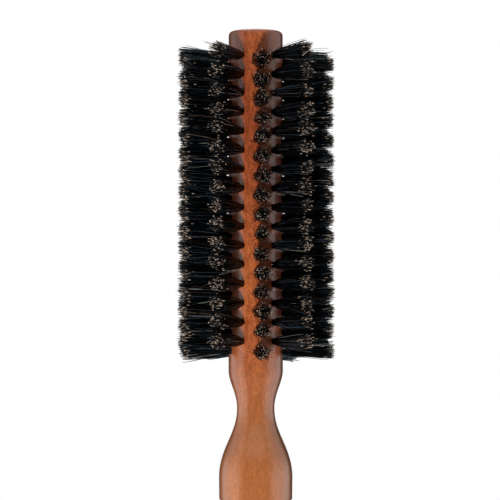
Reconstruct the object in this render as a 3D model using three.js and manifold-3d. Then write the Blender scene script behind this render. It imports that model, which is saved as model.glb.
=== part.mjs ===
// A round barrel brush for blow-drying: a wooden body turned in one piece, barrel, neck and handle,
// with ten straight rows of natural bristle tufts set in blind holes round the barrel.
// Neighbouring rows are staggered by half a tuft pitch. Millimetres, +Z up along the brush's axis,
// with the origin at the centre of the handle's flat butt and the barrel's end at the top.
import * as THREE from "three";
import { mergeVertices } from "three/addons/utils/BufferGeometryUtils.js";
import Module from "manifold-3d";

const wasm = await Module();
wasm.setup();

// Driving dimensions.
const LENGTH = 235; // butt to the barrel's end
const BARREL_RADIUS = 10;
const BRISTLE_RADIUS = 28.5; // the bristle tips are trimmed to it
const ROW_COUNT = 10;
const TUFTS_IN_A_ROW = 16;
const PITCH = 7; // between tufts of one row
const END_TO_FIRST_TUFT = 9.9; // barrel's end to the first tuft of a high row
const FRONT_TURN = THREE.MathUtils.degToRad(5.3); // of the first row from -Y towards +X
const NECK_RADIUS = 6.87;
const GRIP_RADIUS = 13.5;
const BUTT_RADIUS = 10.6;

// Heights of the turned outline.
const SHOULDER_Z = 109.5; // the barrel starts to narrow
const NECK_Z = 95.6;
const GRIP_Z = 70.2; // widest place of the handle
const BUTT_ROUNDING = 2.6;
const END_ROUNDING = 2;
const END_CROWN = 0.3; // rise of the barrel's end inside its rounded edge
const END_FLAT_RADIUS = 4.5;

// How far the outline's curves hold their direction at each of their ends.
const BUTT_PULL = 19.4;
const BUTT_LEAN = 1; // outward, over the pull
const RING_PULL = 19.1;
const GRIP_PULL = 10.9;
const NECK_PULL_DOWN = 9.6;
const NECK_PULL_UP = 5.6;
const SHOULDER_PULL = 4.3;

// Decorative ring turned into the grip.
const RING_TOP = 62.3;
const RING_WIDTH = 1.2;
const RING_DEPTH = 0.5;
const RING_RADIUS = 13.4; // of the grip beside the ring

// Tuft holes and tufts. The depths are distances from the brush's axis.
const SIDES = 6; // of a hole and of a tuft
const HOLE_RADIUS = 1.2;
const HOLE_FLOOR = 5.4;
const TUFT_ROOT_RADIUS = 0.9;
const TUFT_FLOOR = 5.8;
const TUFT_MOUTH = 10.3; // where the bristles start to spread
const TUFT_TIP_RADIUS = 4.1; // wide enough for a row's tips to run into each other

const BODY_SIDES = 3 * ROW_COUNT; // every row of holes lies along the middle of a facet
const CURVE_STEPS = 7;

const wood = new THREE.MeshStandardMaterial({ color: 0x9a4f2a, roughness: 0.35, metalness: 0 });
const bristle = new THREE.MeshStandardMaterial({ color: 0x14120f, roughness: 0.55, metalness: 0 });

// A closed geometry, moved by a matrix, as a solid to join or cut.
function solidOf(geometry, matrix = new THREE.Matrix4()) {
  const shape = geometry.clone().applyMatrix4(matrix);
  shape.deleteAttribute("normal");
  shape.deleteAttribute("uv");
  const merged = mergeVertices(shape, 1e-4);
  return new wasm.Manifold(
    new wasm.Mesh({
      numProp: 3,
      vertProperties: merged.attributes.position.array,
      triVerts: new Uint32Array(merged.index.array),
    }),
  );
}

// A solid as a geometry to put in a mesh.
function geometryOf(solid) {
  const mesh = solid.getMesh();
  return new THREE.BufferGeometry()
    .setAttribute("position", new THREE.BufferAttribute(mesh.vertProperties, 3))
    .setIndex(new THREE.BufferAttribute(mesh.triVerts, 1))
    .toNonIndexed();
}

// The turned outline, from the butt's centre up to the centre of the barrel's end.
function bodyOutline() {
  const ringBottom = RING_TOP - RING_WIDTH;
  const edge = LENGTH - END_CROWN;
  const outline = new THREE.Path();
  outline.moveTo(0, 0);
  outline.lineTo(BUTT_RADIUS - BUTT_ROUNDING, 0);
  outline.quadraticCurveTo(BUTT_RADIUS, 0, BUTT_RADIUS, BUTT_ROUNDING);
  outline.bezierCurveTo(
    BUTT_RADIUS + BUTT_LEAN, BUTT_ROUNDING + BUTT_PULL,
    RING_RADIUS, ringBottom - RING_PULL,
    RING_RADIUS, ringBottom,
  );
  outline.lineTo(RING_RADIUS - RING_DEPTH, RING_TOP - RING_WIDTH / 2);
  outline.lineTo(RING_RADIUS, RING_TOP);
  outline.lineTo(GRIP_RADIUS, GRIP_Z);
  outline.bezierCurveTo(
    GRIP_RADIUS, GRIP_Z + GRIP_PULL,
    NECK_RADIUS, NECK_Z - NECK_PULL_DOWN,
    NECK_RADIUS, NECK_Z,
  );
  outline.bezierCurveTo(
    NECK_RADIUS, NECK_Z + NECK_PULL_UP,
    BARREL_RADIUS, SHOULDER_Z - SHOULDER_PULL,
    BARREL_RADIUS, SHOULDER_Z,
  );
  outline.lineTo(BARREL_RADIUS, edge - END_ROUNDING);
  outline.quadraticCurveTo(BARREL_RADIUS, edge, BARREL_RADIUS - END_ROUNDING, edge);
  outline.lineTo(END_FLAT_RADIUS, LENGTH);
  outline.lineTo(0, LENGTH);
  return outline.getPoints(CURVE_STEPS);
}

// A turned shape whose axis is laid along +X, with corners facing up and down.
function turnedAlongX(points) {
  return new THREE.LatheGeometry(points, SIDES).rotateZ(-Math.PI / 2);
}

function holeShape() {
  return turnedAlongX([
    new THREE.Vector2(0, HOLE_FLOOR),
    new THREE.Vector2(HOLE_RADIUS, HOLE_FLOOR),
    new THREE.Vector2(HOLE_RADIUS, BARREL_RADIUS + 2),
    new THREE.Vector2(0, BARREL_RADIUS + 2),
  ]);
}

function tuftShape() {
  return turnedAlongX([
    new THREE.Vector2(0, TUFT_FLOOR),
    new THREE.Vector2(TUFT_ROOT_RADIUS, TUFT_FLOOR),
    new THREE.Vector2(TUFT_ROOT_RADIUS, TUFT_MOUTH),
    new THREE.Vector2(TUFT_TIP_RADIUS, BRISTLE_RADIUS),
    new THREE.Vector2(0, BRISTLE_RADIUS),
  ]);
}

// One row along the barrel: copies of a shape, a pitch apart, from height 0 down, facing +X.
function rowOf(shape) {
  const copies = [];
  for (let i = 0; i < TUFTS_IN_A_ROW; i++)
    copies.push(solidOf(shape, new THREE.Matrix4().makeTranslation(0, 0, -i * PITCH)));
  return geometryOf(wasm.Manifold.union(copies));
}

// Row 1 faces -Y, and the rest follow counter-clockwise from above. Odd rows sit half a pitch lower.
function rowPlace(index) {
  const angle = -Math.PI / 2 + (index * 2 * Math.PI) / ROW_COUNT;
  const drop = index % 2 === 0 ? PITCH / 2 : 0;
  return { angle, top: LENGTH - END_TO_FIRST_TUFT - drop };
}

function rowMatrix({ angle, top }) {
  return new THREE.Matrix4().makeRotationZ(angle).setPosition(0, 0, top);
}

// The wooden body: turned and drilled.
function makeBody() {
  const halfFacet = Math.PI / BODY_SIDES;
  const turned = new THREE.LatheGeometry(bodyOutline(), BODY_SIDES, halfFacet).rotateX(Math.PI / 2);
  let body = solidOf(turned);
  const holes = rowOf(holeShape());
  for (let i = 0; i < ROW_COUNT; i++)
    body = body.subtract(solidOf(holes, rowMatrix(rowPlace(i))));
  const mesh = new THREE.Mesh(geometryOf(body), wood);
  mesh.name = "wooden_body";
  return mesh;
}

function makeBristleRows() {
  const rows = new THREE.Group();
  const geometry = rowOf(tuftShape());
  for (let i = 0; i < ROW_COUNT; i++) {
    const { angle, top } = rowPlace(i);
    const row = new THREE.Mesh(geometry, bristle);
    row.name = `bristle_row_${String(i + 1).padStart(2, "0")}`;
    row.rotation.z = angle;
    row.position.z = top;
    rows.add(row);
  }
  return rows;
}

const brush = new THREE.Group();
brush.add(makeBody(), makeBristleRows());
brush.rotation.z = FRONT_TURN;

export default brush;
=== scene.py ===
"""Looks of the round barrel brush: lacquered wood, natural bristles and a plain white studio."""
import math

import bpy
import numpy as np
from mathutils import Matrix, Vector


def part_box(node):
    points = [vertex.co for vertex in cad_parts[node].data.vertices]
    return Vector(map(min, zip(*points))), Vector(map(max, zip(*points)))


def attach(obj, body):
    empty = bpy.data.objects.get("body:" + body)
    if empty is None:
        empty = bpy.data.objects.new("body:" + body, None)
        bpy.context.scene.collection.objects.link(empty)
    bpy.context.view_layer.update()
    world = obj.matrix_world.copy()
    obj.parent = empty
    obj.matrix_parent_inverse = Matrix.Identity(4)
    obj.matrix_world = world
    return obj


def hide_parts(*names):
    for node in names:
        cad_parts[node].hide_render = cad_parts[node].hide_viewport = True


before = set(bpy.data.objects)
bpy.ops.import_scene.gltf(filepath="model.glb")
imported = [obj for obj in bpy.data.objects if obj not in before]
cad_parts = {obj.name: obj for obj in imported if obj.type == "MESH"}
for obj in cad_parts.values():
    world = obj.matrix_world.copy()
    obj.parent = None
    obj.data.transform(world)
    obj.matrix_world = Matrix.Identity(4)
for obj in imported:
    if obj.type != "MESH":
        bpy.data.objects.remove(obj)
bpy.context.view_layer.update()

MM = 0.001
rng = np.random.default_rng(7)

# The turned outline, as the CAD body has it, in millimetres.
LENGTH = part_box("wooden_body")[1].z / MM
BARREL_RADIUS = 10
NECK_RADIUS, NECK_Z = 6.87, 95.6
GRIP_RADIUS, GRIP_Z = 13.5, 70.2
BUTT_RADIUS, BUTT_ROUNDING = 10.6, 2.6
SHOULDER_Z = 109.5
END_ROUNDING, END_CROWN, END_FLAT_RADIUS = 2, 0.3, 4.5
RING_TOP, RING_WIDTH, RING_DEPTH, RING_RADIUS = 62.3, 1.2, 0.5, 13.4

# How far the outline's curves hold their direction at each of their ends.
BUTT_PULL, BUTT_LEAN = 19.4, 1
RING_PULL = 19.1
GRIP_PULL = 10.9
NECK_PULL_DOWN, NECK_PULL_UP = 9.6, 5.6
SHOULDER_PULL = 4.3

BODY_SIDES = 150
CURVE_STEPS = 24
SHARP_ANGLE = math.radians(32)

# Holes and tufts, in millimetres. Depths are distances from the brush's axis.
TUFTS_IN_A_ROW = 16
TUFT_TIP_RADIUS = 4.1
HOLE_RADIUS, HOLE_FLOOR, HOLE_SIDES = 1.15, 5.4, 16
CUTTER_OVERHANG = 2  # past the barrel's surface
TUFT_FLOOR = 5.9
MOUTH = 10
BRISTLE_RADIUS = 28.6
ROOT_SPREAD = 0.95
FAN_WIDTH = np.array([2.3, 1.9])  # across the row and along it
FAN_SHARES = (0.7, 1.02)  # how far a tuft opens
FAN_REACH = 3.9  # distance past the mouth in which most of the fan opens
END_TUFT_LEAN = 0.03  # of a row's first tuft, upward, and of its last, downward
COMMON_LEAN = 0.6  # share of that lean that does not depend on a hair's place in the tuft

# Hairs, in millimetres, with leans as slopes.
HAIRS_IN_A_TUFT = 300
STRAYS_IN_A_TUFT = 1
HAIR_RADII = (0.09, 0.14)
HAIR_SIDES = 3
PLACES_ALONG = np.array([0.0, 0.18, 0.3, 0.45, 0.68, 0.94, 1.0])
THICKNESS = np.array([1.0, 1.0, 1.0, 0.95, 0.88, 0.78, 0.6])  # at each of those places
WISPS_IN_A_TUFT = 16
WISP_SPREAD, WISP_PULL = 0.75, 0.55
HAIR_LEAN, TUFT_LEAN = 0.02, 0.014
FAR_LEAN, FAR_LEAN_RARITY = 3, 5  # how many times further a few hairs lean, and how few they are
HAIR_BEND, TUFT_BEND = 0.32, 0.2
KINK = 0.05
LONGEST = BRISTLE_RADIUS + 0.7
TRIM_SPREAD = 1.6
STRAY_LEAN, STRAY_EXTRA = 3, 1.2
SPLIT_SHARE = 0.14  # of the hairs, which have a split tip
SPLIT_SWELLING = (1.1, 1.75)  # of a split hair at its last two places

# How pale a hair is, from 0 to 1. Only strays are pale along their whole length.
SPLIT_PALENESS = (0.5, 1)
STRAY_PALENESS = (0.1, 0.5)
MOST_OTHER_PALENESS, OTHER_RARITY = 0.1, 4


# Meshes

def make_object(name, vertices, faces):
    mesh = bpy.data.meshes.new(name)
    mesh.from_pydata(vertices, [], faces)
    mesh.shade_smooth()
    mesh.update()
    piece = bpy.data.objects.new(name, mesh)
    bpy.context.scene.collection.objects.link(piece)
    return piece


def bezier(p0, p1, p2, p3):
    """Points of a cubic curve after its start."""
    t = np.linspace(0, 1, CURVE_STEPS + 1)[1:, None]
    p0, p1, p2, p3 = map(np.array, (p0, p1, p2, p3))
    return (1 - t) ** 3 * p0 + 3 * (1 - t) ** 2 * t * p1 + 3 * (1 - t) * t**2 * p2 + t**3 * p3


def rounding(start, corner, end):
    """Points of the curve that rounds a corner, after its start."""
    t = np.linspace(0, 1, CURVE_STEPS // 2 + 1)[1:, None]
    start, corner, end = map(np.array, (start, corner, end))
    return (1 - t) ** 2 * start + 2 * (1 - t) * t * corner + t**2 * end


def body_outline():
    """(radius, height) points from the butt's flat up to the flat of the barrel's end."""
    edge = LENGTH - END_CROWN
    ring_bottom = RING_TOP - RING_WIDTH
    groove = RING_RADIUS - RING_DEPTH
    flat = (BUTT_RADIUS - BUTT_ROUNDING, 0)
    butt = (BUTT_RADIUS, BUTT_ROUNDING)
    ring = (RING_RADIUS, ring_bottom)
    grip = (GRIP_RADIUS, GRIP_Z)
    neck = (NECK_RADIUS, NECK_Z)
    shoulder = (BARREL_RADIUS, SHOULDER_Z)
    end_start = (BARREL_RADIUS, edge - END_ROUNDING)
    end_stop = (BARREL_RADIUS - END_ROUNDING, edge)

    above_butt = (BUTT_RADIUS + BUTT_LEAN, BUTT_ROUNDING + BUTT_PULL)
    below_ring = (RING_RADIUS, ring_bottom - RING_PULL)
    above_grip = (GRIP_RADIUS, GRIP_Z + GRIP_PULL)
    below_neck = (NECK_RADIUS, NECK_Z - NECK_PULL_DOWN)
    above_neck = (NECK_RADIUS, NECK_Z + NECK_PULL_UP)
    below_shoulder = (BARREL_RADIUS, SHOULDER_Z - SHOULDER_PULL)
    return np.vstack([
        [flat],
        rounding(flat, (BUTT_RADIUS, 0), butt),
        bezier(butt, above_butt, below_ring, ring),
        [(groove, ring_bottom + RING_WIDTH / 3)],
        [(groove, RING_TOP - RING_WIDTH / 3)],
        [(RING_RADIUS, RING_TOP)],
        [grip],
        bezier(grip, above_grip, below_neck, neck),
        bezier(neck, above_neck, below_shoulder, shoulder),
        [end_start],
        rounding(end_start, (BARREL_RADIUS, edge), end_stop),
        [(END_FLAT_RADIUS, LENGTH)],
    ])


def tube_faces(rings, sides):
    """Faces of a closed tube whose vertices are listed ring by ring: its two caps, then its sides."""
    first_cap = tuple(reversed(range(sides)))
    last_cap = tuple(range((rings - 1) * sides, rings * sides))
    quads = []
    for k in range(rings - 1):
        low, high = k * sides, (k + 1) * sides
        for j in range(sides):
            after = (j + 1) % sides
            quads.append((low + j, low + after, high + after, high + j))
    return [first_cap, last_cap], quads


def turned(name, outline, sides):
    """A closed solid turned round Z. The outline's first and last rings are capped."""
    angles = np.arange(sides) * 2 * math.pi / sides
    round_about = np.stack([np.cos(angles), np.sin(angles)], axis=1)
    rings = [np.column_stack([r * round_about, np.full(sides, z)]) for r, z in outline]
    vertices = np.vstack(rings) * MM
    caps, quads = tube_faces(len(outline), sides)
    return make_object(name, vertices.tolist(), caps + quads)


def row_frames():
    """(name, turn about Z, heights of the tufts in millimetres) of each row of bristles."""
    rows = []
    for name in sorted(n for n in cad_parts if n.startswith("bristle_row")):
        low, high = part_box(name)
        places = [v.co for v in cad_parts[name].data.vertices]
        middle = sum(places, Vector()) / len(places)
        first = high.z / MM - TUFT_TIP_RADIUS
        last = low.z / MM + TUFT_TIP_RADIUS
        rows.append((name, math.atan2(middle.y, middle.x), np.linspace(first, last, TUFTS_IN_A_ROW)))
    return rows


def across(turn, points):
    """Points (outward, sideways, up) of a row turned into its place, in metres."""
    out, side, up = np.moveaxis(points, -1, 0)
    x = out * math.cos(turn) - side * math.sin(turn)
    y = out * math.sin(turn) + side * math.cos(turn)
    return np.stack([x, y, up], axis=-1) * MM


def hole_cutters(rows):
    """One object with a rod for every tuft hole."""
    angles = np.arange(HOLE_SIDES) * 2 * math.pi / HOLE_SIDES
    sideways, up = HOLE_RADIUS * np.cos(angles), HOLE_RADIUS * np.sin(angles)
    caps, quads = tube_faces(2, HOLE_SIDES)
    vertices, faces = [], []
    for _, turn, heights in rows:
        for z in heights:
            start = len(vertices)
            for out in (HOLE_FLOOR, BARREL_RADIUS + CUTTER_OVERHANG):
                ring = np.column_stack([np.full(HOLE_SIDES, out), sideways, z + up])
                vertices += across(turn, ring).tolist()
            faces += [tuple(start + corner for corner in face) for face in caps + quads]
    return make_object("hole_cutters", vertices, faces)


def make_body(rows):
    body = turned("turned_wooden_body", body_outline(), BODY_SIDES)
    cutters = hole_cutters(rows)
    cut = body.modifiers.new("holes", "BOOLEAN")
    cut.operation = "DIFFERENCE"
    cut.solver = "EXACT"
    cut.object = cutters
    drilled = bpy.data.meshes.new_from_object(body.evaluated_get(bpy.context.evaluated_depsgraph_get()))
    body.modifiers.clear()
    body.data = drilled
    bpy.data.objects.remove(cutters)
    drilled.set_sharp_from_angle(angle=SHARP_ANGLE)
    body.data.materials.append(wood_material())
    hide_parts("wooden_body")
    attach(body, "root")


# Bristles

def hair_paths(lean, stray):
    """Middle lines of one tuft's hairs, as (outward, sideways, up) points from the tuft's own height."""
    count = len(stray)
    distance, angle = np.sqrt(rng.random(count)), rng.random(count) * 2 * math.pi
    root = np.stack([distance * np.cos(angle), distance * np.sin(angle)], axis=1)
    # Each hair is drawn towards the wisp that is nearest to its root.
    wisps = rng.normal(0, WISP_SPREAD, (WISPS_IN_A_TUFT, 2))
    nearest = wisps[np.argmin(((root[:, None] - wisps) ** 2).sum(-1), axis=1)]
    aim = root + WISP_PULL * (nearest - root)
    slope = rng.normal(0, HAIR_LEAN, (count, 2))
    slope *= 1 + FAR_LEAN * rng.random((count, 1)) ** FAR_LEAN_RARITY
    slope[stray] *= STRAY_LEAN
    slope[:, 1] += lean * (COMMON_LEAN + (1 - COMMON_LEAN) * root[:, 1]) + rng.normal(0, TUFT_LEAN)
    bend = rng.normal(0, HAIR_BEND, (count, 2)) + rng.normal(0, TUFT_BEND, 2)
    length = LONGEST - np.abs(rng.normal(0, TRIM_SPREAD, count))
    length[stray] += rng.random(stray.sum()) * STRAY_EXTRA

    out = TUFT_FLOOR + (length[:, None] - TUFT_FLOOR) * PLACES_ALONG
    beyond = np.maximum(out - MOUTH, 0)
    share = beyond / (BRISTLE_RADIUS - MOUTH)
    fan = FAN_WIDTH * rng.uniform(*FAN_SHARES) * (1 - np.exp(-beyond / FAN_REACH))[..., None]
    sideways = ROOT_SPREAD * root[:, None] + fan * aim[:, None] + slope[:, None] * beyond[..., None]
    sideways = sideways + bend[:, None] * (share**2)[..., None]
    sideways[:, 2:] += rng.normal(0, KINK, (count, len(PLACES_ALONG) - 2, 2))
    return np.concatenate([out[..., None], sideways], axis=-1)


def hair_looks(stray):
    """Radii and paleness at each place along one tuft's hairs, and each hair's tone, which also picks
    the few hairs that get a painted sheen.
    """
    count = len(stray)
    radius = rng.uniform(*HAIR_RADII, count)[:, None] * THICKNESS
    tone = rng.random(count)
    split = rng.random(count) < SPLIT_SHARE
    radius[split, -2:] *= SPLIT_SWELLING
    split_tips = rng.uniform(*SPLIT_PALENESS, count)
    other_tips = MOST_OTHER_PALENESS * rng.random(count) ** OTHER_RARITY
    pale = (PLACES_ALONG == 1) * np.where(split, split_tips, other_tips)[:, None]
    pale[stray] = rng.uniform(*STRAY_PALENESS, (stray.sum(), 1))
    return radius, pale, tone


def row_of_hairs(heights):
    """Middle lines, radii, paleness and tones of all the hairs of a row."""
    stray = np.arange(HAIRS_IN_A_TUFT + STRAYS_IN_A_TUFT) >= HAIRS_IN_A_TUFT
    leans = np.zeros(len(heights))
    leans[0], leans[-1] = END_TUFT_LEAN, -END_TUFT_LEAN
    tufts = []
    for z, lean in zip(heights, leans):
        middle = hair_paths(lean, stray) + (0, 0, z)
        tufts.append((middle, *hair_looks(stray)))
    return [np.concatenate(values) for values in zip(*tufts)]


def make_row(name, turn, heights):
    middle, radius, pale, tone = row_of_hairs(heights)
    count, rings = radius.shape
    angles = rng.random(count)[:, None] * 2 * math.pi + np.arange(HAIR_SIDES) * 2 * math.pi / HAIR_SIDES
    section = np.stack([np.zeros_like(angles), np.cos(angles), np.sin(angles)], axis=-1)
    skin = middle[:, :, None] + radius[:, :, None, None] * section[:, None]
    vertices = across(turn, skin).reshape(-1, 3)

    caps, quads = tube_faces(rings, HAIR_SIDES)
    starts = (np.arange(count) * rings * HAIR_SIDES)[:, None, None]
    all_quads = (starts + np.array(quads)).reshape(-1, 4).tolist()
    all_caps = (starts + np.array(caps)).reshape(-1, HAIR_SIDES).tolist()
    piece = make_object(name, vertices.tolist(), all_quads + all_caps)

    attributes = {
        "tone": np.repeat(tone, rings * HAIR_SIDES),
        "pale": np.repeat(pale.ravel(), HAIR_SIDES),
        "along": np.tile(np.repeat(PLACES_ALONG, HAIR_SIDES), count),
    }
    for label, values in attributes.items():
        layer = piece.data.attributes.new(label, "FLOAT", "POINT")
        layer.data.foreach_set("value", values.astype(np.float32))
    return piece


def make_bristles(rows):
    material = bristle_material()
    for name, turn, heights in rows:
        piece = make_row(name.replace("bristle_row", "bristles"), turn, heights)
        piece.data.materials.append(material)
        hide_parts(name)
        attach(piece, "root")


# Shader nodes

def put(tree, socket, value):
    """Sets a socket to a number, a vector or a colour, or links it from another socket."""
    if isinstance(value, bpy.types.NodeSocket):
        tree.links.new(value, socket)
    elif socket.type == "RGBA":
        socket.default_value = (*value, 1)
    else:
        socket.default_value = value


def put_all(tree, node, values):
    for key, value in values.items():
        put(tree, node.inputs[key], value)


def add(tree, kind, values=None, **settings):
    """A new shader node with its settings and with the values or links of its inputs."""
    node = tree.nodes.new("ShaderNode" + kind)
    for key, value in settings.items():
        setattr(node, key, value)
    put_all(tree, node, values or {})
    return node


def new_material(name):
    """A new material, its node tree and its principled shader."""
    material = bpy.data.materials.new(name)
    material.use_nodes = True
    tree = material.node_tree
    tree.nodes.clear()
    shader = add(tree, "BsdfPrincipled")
    add(tree, "OutputMaterial", {"Surface": shader.outputs[0]})
    return material, tree, shader


def ramp(tree, factor, stops):
    node = add(tree, "ValToRGB", {"Fac": factor})
    while len(node.color_ramp.elements) < len(stops):
        node.color_ramp.elements.new(0.5)
    for element, (place, colour) in zip(node.color_ramp.elements, stops):
        element.position = place
        element.color = (*colour, 1)
    return node.outputs["Color"]


def mixed(tree, factor, first, second, blend="MIX"):
    """A mix of two colours. The node has inputs of all its data types, and its colours are 6 and 7."""
    node = add(tree, "Mix", data_type="RGBA", blend_type=blend)
    put_all(tree, node, {0: factor, 6: first, 7: second})
    return node.outputs[2]


def maths(tree, operation, *values):
    return add(tree, "Math", dict(enumerate(values)), operation=operation).outputs[0]


def ranged(tree, value, low, high):
    """A value from 0 to 1 moved to the range from low to high."""
    return add(tree, "MapRange", {"Value": value, "To Min": low, "To Max": high}).outputs[0]


def grey(level):
    return (level, level, level)


# Materials

WOOD = (0.32, 0.1, 0.034)
WOOD_FIGURE = [
    (0.3, (0.24, 0.055, 0.02)),
    (0.5, (0.35, 0.1, 0.035)),
    (0.7, (0.46, 0.155, 0.052)),
]
WOOD_STAIN = (0.30, 0.07, 0.018)
WORN_WOOD = (0.36, 0.165, 0.05)
WORN_FROM, WORN_TO = 0.13, 0.09  # heights in metres, from the stained barrel to the worn handle
BURNT_WOOD = (0.03, 0.009, 0.005)
LACQUER_TINT = (1, 0.86, 0.78)

BRISTLE = (0.004, 0.005, 0.006)
# Painted sheen: a blue-grey colour given to a few black hairs to stand in for the highlights along them.
BLUE_GREY_PAINTED_SHEEN = (0.035, 0.048, 0.062)
BROWN_HAIR = (0.03, 0.015, 0.008)
# Hair colours by tone, from near black to brown and grey. The two blue-grey stops are painted sheen, not
# the hairs' own colour.
HAIR_TONES_AND_PAINTED_SHEEN = [
    (0.0, (0.0008, 0.0012, 0.0018)),
    (0.8, (0.002, 0.003, 0.004)),
    (0.88, BLUE_GREY_PAINTED_SHEEN),
    (0.95, BLUE_GREY_PAINTED_SHEEN),
    (0.96, BROWN_HAIR),
    (0.98, BROWN_HAIR),
    (1.0, (0.42, 0.43, 0.42)),
]
PALE_TONES = [(0.0, (0.55, 0.36, 0.24)), (1.0, (0.95, 0.78, 0.62))]
HAIR_SHINE = [(0.25, grey(0.02)), (0.7, grey(0.7)), (0.97, grey(0.2))]
HAIR_SHINE_TINT = (0.6, 0.88, 1)


def wood_material():
    material, tree, shader = new_material("lacquered_wood")
    place = add(tree, "TexCoord").outputs["Object"]

    def stretched(scale, sideways):
        """Noise drawn out along the brush's axis."""
        mapping = add(tree, "Mapping", {"Vector": place, "Scale": (sideways, sideways, 1)})
        noise = {"Vector": mapping.outputs[0], "Scale": scale, "Detail": 6}
        return add(tree, "TexNoise", noise).outputs["Fac"]

    figure = stretched(14, 10)
    grain = stretched(260, 3.5)
    pores = stretched(1300, 1.3)
    cloud = stretched(30, 1)

    # The stained figure, with its streaks and pores.
    base = ramp(tree, figure, WOOD_FIGURE)
    base = mixed(tree, maths(tree, "MULTIPLY", cloud, 0.3), base, WOOD_STAIN)
    streaks = ramp(tree, grain, [(0.38, (0.74, 0.66, 0.6)), (0.62, grey(1.16))])
    base = mixed(tree, 0.75, base, streaks, "MULTIPLY")
    dots = ramp(tree, pores, [(0.4, (0.7, 0.6, 0.52)), (0.6, grey(1.18))])
    base = mixed(tree, 0.95, base, dots, "MULTIPLY")

    # The handle is paler, and the ring in it is burnt.
    height = add(tree, "SeparateXYZ", {"Vector": place}).outputs["Z"]
    worn = {"Value": height, "From Min": WORN_FROM, "From Max": WORN_TO, "To Max": 0.5}
    base = mixed(tree, add(tree, "MapRange", worn).outputs[0], base, WORN_WOOD)
    ring_middle = (RING_TOP - RING_WIDTH / 2) * MM
    off_the_ring = maths(tree, "ABSOLUTE", maths(tree, "SUBTRACT", height, ring_middle))
    burnt = maths(tree, "LESS_THAN", off_the_ring, RING_WIDTH * 0.42 * MM)
    base = mixed(tree, maths(tree, "MULTIPLY", burnt, 0.85), base, BURNT_WOOD)

    bump = add(tree, "Bump", {"Height": pores, "Strength": 0.12, "Distance": 0.00012})
    put(tree, shader.inputs["Base Color"], WOOD)
    put_all(tree, shader, {
        "Base Color": base,
        "Roughness": ranged(tree, grain, 0.34, 0.5),
        "Normal": bump.outputs[0],
        "Coat Weight": 1,
        "Coat Roughness": 0.24,
        "Coat IOR": 1.6,
        "Coat Tint": LACQUER_TINT,
    })
    return material


def bristle_material():
    material, tree, shader = new_material("natural_bristle")
    tone = add(tree, "Attribute", attribute_name="tone").outputs["Fac"]
    pale = add(tree, "Attribute", attribute_name="pale").outputs["Fac"]
    along = add(tree, "Attribute", attribute_name="along").outputs["Fac"]
    place = add(tree, "TexCoord").outputs["Object"]
    speckle = add(tree, "TexNoise", {"Vector": place, "Scale": 900}).outputs["Fac"]
    put(tree, shader.inputs["Base Color"], BRISTLE)
    # The tone ramp paints a blue-grey sheen into the colour of a few hairs; the pale ramp gives the
    # split tips and strays.
    put_all(tree, shader, {
        "Base Color": mixed(tree, pale, ramp(tree, tone, HAIR_TONES_AND_PAINTED_SHEEN), ramp(tree, tone, PALE_TONES)),
        "Roughness": ranged(tree, speckle, 0.14, 0.32),
        "Specular IOR Level": ramp(tree, along, HAIR_SHINE),
        "Specular Tint": HAIR_SHINE_TINT,
    })
    return material


def floor_material():
    material, tree, shader = new_material("studio_floor")
    put_all(tree, shader, {"Base Color": grey(0.9), "Roughness": 0.6})
    return material


# Studio, in metres and watts

MIDDLE = (0, 0, 0.15)  # of the brush
BESIDE = 0.8  # the boxes that are only mirrored
FURTHER_BESIDE = 0.95  # the lights behind them
FLOOR_RADIUS, FLOOR_THICKNESS, FLOOR_SIDES = 0.4, 0.002, 128
FLOOR_GAP = 0.0002  # under the butt


def area_light(name, place, aim, size, power, mirrored=True, lights=True):
    """A soft box. It may be left out of reflections, or only be mirrored."""
    data = bpy.data.lights.new(name, "AREA")
    data.shape = "RECTANGLE"
    data.size, data.size_y = size
    data.energy = power
    light = bpy.data.objects.new(name, data)
    light.location = place
    light.rotation_euler = (Vector(aim) - Vector(place)).to_track_quat("-Z", "Y").to_euler()
    light.visible_camera = False
    light.visible_glossy = mirrored
    light.visible_diffuse = lights
    bpy.context.scene.collection.objects.link(light)


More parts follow.
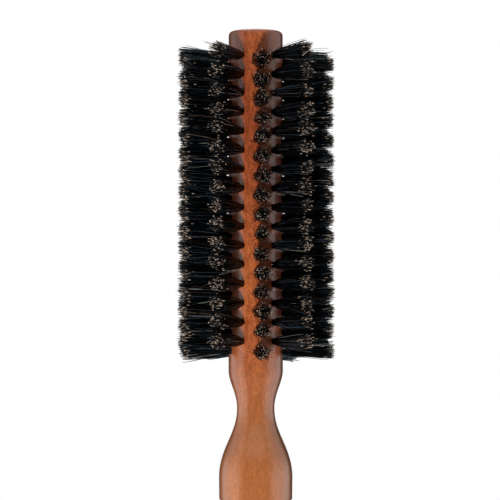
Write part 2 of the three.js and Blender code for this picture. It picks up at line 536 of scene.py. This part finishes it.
def make_world():
    """White where the camera sees it, and a faint grey fill for everything else."""
    world = bpy.data.worlds.new("studio")
    bpy.context.scene.world = world
    world.use_nodes = True
    tree = world.node_tree
    tree.nodes.clear()
    seen = add(tree, "Background", {"Color": grey(1)})
    fill = add(tree, "Background", {"Color": (0.03, 0.03, 0.031)})
    from_camera = add(tree, "LightPath").outputs["Is Camera Ray"]
    mix = add(tree, "MixShader", {0: from_camera, 1: fill.outputs[0], 2: seen.outputs[0]})
    add(tree, "OutputWorld", {"Surface": mix.outputs[0]})


def make_lights():
    for side in (-1, 1):
        beside, further = BESIDE * side, FURTHER_BESIDE * side
        for z, height, power in ((-0.3, 1.1, 4.8), (0.75, 1, 2.4)):
            size = (1.25, height)
            area_light(f"mirrored_{side}", (beside, 0, z), (0, 0, z), size, power, lights=False)
        area_light(f"side_{side}", (further, 0, 0.7), (0, 0, 0.7), (1.25, 1.4), 1.3, mirrored=False)
    area_light("key", (-0.094, -0.44, 0.0), MIDDLE, (0.04, 0.04), 2.25, mirrored=False)
    area_light("panel", (0, -0.7, 0.95), MIDDLE, (1.2, 0.7), 1.5)
    area_light("back", (0, 0.8, 0.8), MIDDLE, (0.8, 0.5), 3, mirrored=False)
    area_light("top", (0, 0.45, 1.25), MIDDLE, (0.9, 0.9), 5, lights=False)
    area_light("ceiling", (0, 0, 1.2), (0, 0, 0), (0.8, 0.8), 6, mirrored=False)


def make_floor():
    """A pale disc. It is not mirrored, and it casts no shadow, because half of the key is below it."""
    outline = np.array([(FLOOR_RADIUS, -FLOOR_THICKNESS), (FLOOR_RADIUS, 0)]) / MM
    floor = turned("floor", outline, FLOOR_SIDES)
    floor.data.shade_flat()
    floor.data.materials.append(floor_material())
    floor.location.z = -FLOOR_GAP
    floor.visible_glossy = False
    floor.visible_shadow = False


def make_camera():
    data = bpy.data.cameras.new("camera")
    data.lens = 185.6
    data.sensor_width = 36
    camera = bpy.data.objects.new("camera", data)
    camera.location = (-0.0021, -0.95, 0.117)
    camera.rotation_euler = (math.radians(90 + 2.22), 0, 0)
    bpy.context.scene.collection.objects.link(camera)
    bpy.context.scene.camera = camera


rows = row_frames()
make_body(rows)
make_bristles(rows)
make_world()
make_lights()
make_floor()
make_camera()
bpy.context.scene.view_settings.view_transform = "Standard"
